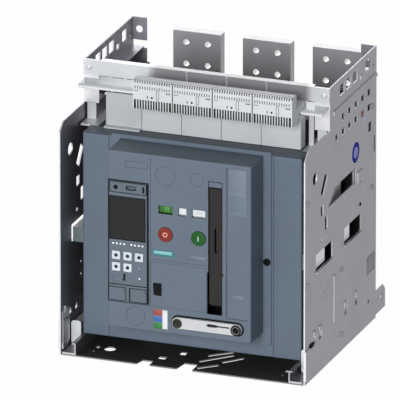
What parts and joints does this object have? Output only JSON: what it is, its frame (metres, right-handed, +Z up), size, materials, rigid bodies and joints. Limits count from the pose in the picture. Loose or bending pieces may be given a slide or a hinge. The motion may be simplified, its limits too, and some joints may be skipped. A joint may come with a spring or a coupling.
{
  "type": "drawout circuit breaker",
  "caption": "Air circuit breaker in a sheet-steel guide frame, with operator panel, racking crank, charging lever, secondary terminals and rear busbar connections.",
  "frame": {"origin": "centre of the four base bolt holes, on the underside of the base", "axes": "+X to the right seen from the operator's side, +Y to the rear, towards the busbars, +Z up"},
  "size_m": [0.46, 0.4712, 0.5055],
  "materials": {
    "zinc_plate": "zinc-plated sheet steel",
    "zinc_light": "bright zinc-plated sheet steel",
    "dark_sheet": "black coated sheet steel",
    "terminal_plastic": "moulded light grey",
    "dark_moulding": "moulded black insulating resin",
    "plated_copper": "dark plated copper",
    "cover_plastic": "moulded blue-grey",
    "black_plastic": "moulded black",
    "key_plastic": "moulded off-white",
    "red_plastic": "moulded red",
    "green_plastic": "moulded green",
    "white_plastic": "moulded white",
    "crank_paint": "powder coat, light grey",
    "bright_steel": "turned or pressed steel"
  },
  "bodies": {
    "guide_frame": {"side_plate_left": "zinc_plate", "side_plate_right": "zinc_plate", "base_plate": "dark_sheet", "guide_channels": "zinc_light", "cross_rail": "zinc_light", "terminal_shelf": "zinc_light", "terminal_block_1": "terminal_plastic", "terminal_block_2": "terminal_plastic", "terminal_block_3": "terminal_plastic", "terminal_block_4": "terminal_plastic", "rear_wall": "dark_moulding", "upper_bar_1": "plated_copper", "upper_bar_2": "plated_copper", "upper_bar_3": "plated_copper", "lower_bar_1": "plated_copper", "lower_bar_2": "plated_copper", "lower_bar_3": "plated_copper", "frame_fasteners": "bright_steel"},
    "rails": {"rail_left": "zinc_light", "rail_right": "zinc_light"},
    "breaker": {"side_brackets": "zinc_light", "plug_blocks": "terminal_plastic", "blank_panel": "zinc_light", "pole_housing": "dark_moulding", "arc_chutes": "dark_moulding", "guide_lugs": "zinc_light", "finger_clusters": "plated_copper", "front_cover": "cover_plastic", "panel_bezel": "cover_plastic", "operator_panel": "cover_plastic", "trip_unit": "cover_plastic", "unit_covers": "cover_plastic", "service_hatch": "cover_plastic", "cover_latch": "black_plastic", "display_window": "black_plastic", "position_plate": "white_plastic", "support_rollers": "bright_steel", "flag_axle": "bright_steel", "crank_bush": "bright_steel", "mechanism_plates": "bright_steel", "closing_spring": "bright_steel"},
    "open_button": {"open_button": "red_plastic"},
    "close_button": {"close_button": "green_plastic"},
    "charging_lever": {"charging_lever": "black_plastic"},
    "charging_shaft": {"charging_shaft": "bright_steel"},
    "main_shaft": {"main_shaft": "bright_steel"},
    "moving_contacts": {"moving_contacts": "plated_copper"},
    "contact_flag": {"contact_flag": "green_plastic"},
    "ready_flag": {"ready_flag": "white_plastic"},
    "spring_flag": {"spring_flag": "white_plastic"},
    "position_pointer": {"position_pointer": "white_plastic"},
    "crank_gate": {"crank_gate": "black_plastic"},
    "crank_spindle": {"crank_spindle": "bright_steel"},
    "crank_arm": {"crank_arm": "crank_paint"},
    "crank_knob": {"crank_knob": "black_plastic"},
    "key_1": {"key_1": "key_plastic"},
    "key_2": {"key_2": "key_plastic"},
    "key_3": {"key_3": "key_plastic"},
    "key_4": {"key_4": "key_plastic"},
    "key_5": {"key_5": "key_plastic"}
  },
  "joints": [
    {"name": "hand_withdrawal", "type": "slide", "parent": "guide_frame", "child": "rails", "axis": [0, -1, 0], "range_m": [0, 0.33]},
    {"name": "racking", "type": "slide", "parent": "rails", "child": "breaker", "axis": [0, -1, 0], "range_m": [0, 0.088]},
    {"name": "open_press", "type": "slide", "parent": "breaker", "child": "open_button", "axis": [0, 1, 0], "range_m": [0, 0.004], "stiffness_N_per_m": 800},
    {"name": "close_press", "type": "slide", "parent": "breaker", "child": "close_button", "axis": [0, 1, 0], "range_m": [0, 0.004], "stiffness_N_per_m": 800},
    {"name": "key_1_press", "type": "slide", "parent": "breaker", "child": "key_1", "axis": [0, 1, 0], "range_m": [0, 0.001], "stiffness_N_per_m": 600},
    {"name": "key_2_press", "type": "slide", "parent": "breaker", "child": "key_2", "axis": [0, 1, 0], "range_m": [0, 0.001], "stiffness_N_per_m": 600},
    {"name": "key_3_press", "type": "slide", "parent": "breaker", "child": "key_3", "axis": [0, 1, 0], "range_m": [0, 0.001], "stiffness_N_per_m": 600},
    {"name": "key_4_press", "type": "slide", "parent": "breaker", "child": "key_4", "axis": [0, 1, 0], "range_m": [0, 0.001], "stiffness_N_per_m": 600},
    {"name": "key_5_press", "type": "slide", "parent": "breaker", "child": "key_5", "axis": [0, 1, 0], "range_m": [0, 0.001], "stiffness_N_per_m": 600},
    {"name": "charging_stroke", "type": "hinge", "parent": "breaker", "child": "charging_lever", "pos_m": [0.0664, -0.1785, 0.134], "axis": [1, 0, 0], "range_deg": [0, 80]},
    {"name": "ratchet_turn", "type": "hinge", "parent": "breaker", "child": "charging_shaft", "pos_m": [0.066, -0.1225, 0.19], "axis": [1, 0, 0], "range_deg": [0, 80]},
    {"name": "spring_flag_turn", "type": "hinge", "parent": "breaker", "child": "spring_flag", "pos_m": [0.0356, -0.1745, 0.2965], "axis": [1, 0, 0], "range_deg": [0, 80]},
    {"name": "ready_flag_turn", "type": "hinge", "parent": "breaker", "child": "ready_flag", "pos_m": [0.0055, -0.1745, 0.2965], "axis": [1, 0, 0], "range_deg": [0, 60]},
    {"name": "main_shaft_turn", "type": "hinge", "parent": "breaker", "child": "main_shaft", "pos_m": [0, -0.1065, 0.112], "axis": [1, 0, 0], "range_deg": [0, 50]},
    {"name": "contact_swing", "type": "hinge", "parent": "breaker", "child": "moving_contacts", "pos_m": [0, 0.0075, 0.178], "axis": [1, 0, 0], "range_deg": [-19.5, 0]},
    {"name": "contact_flag_turn", "type": "hinge", "parent": "breaker", "child": "contact_flag", "pos_m": [-0.025, -0.1745, 0.2965], "axis": [1, 0, 0], "range_deg": [0, 60]},
    {"name": "pointer_travel", "type": "slide", "parent": "breaker", "child": "position_pointer", "axis": [0, 0, -1], "range_m": [0, 0.0264]},
    {"name": "gate_pull", "type": "slide", "parent": "breaker", "child": "crank_gate", "axis": [0, -1, 0], "range_m": [0, 0.008]},
    {"name": "crank_pull", "type": "slide", "parent": "breaker", "child": "crank_spindle", "axis": [0, -1, 0], "range_m": [0, 0.03]},
    {"name": "crank_turn", "type": "hinge", "parent": "crank_spindle", "child": "crank_arm", "pos_m": [0.1067, -0.1985, 0.0935], "axis": [0, 1, 0], "range_deg": [-3960, 0]},
    {"name": "knob_spin", "type": "hinge", "parent": "crank_arm", "child": "crank_knob", "pos_m": [-0.0013, -0.2005, 0.0935], "axis": [0, 1, 0], "continuous": true}
  ],
  "couplings": [
    {"joint": "ratchet_turn", "follows": "charging_stroke", "ratio": 1},
    {"joint": "spring_flag_turn", "follows": "charging_stroke", "ratio": 0.9},
    {"joint": "ready_flag_turn", "follows": "charging_stroke", "ratio": 0.6},
    {"joint": "contact_swing", "follows": "main_shaft_turn", "ratio": -0.39},
    {"joint": "contact_flag_turn", "follows": "main_shaft_turn", "ratio": 1.2},
    {"joint": "pointer_travel", "follows": "racking", "ratio": 0.3},
    {"joint": "crank_turn", "follows": "racking", "rad_per_m": -785.4}
  ]
}
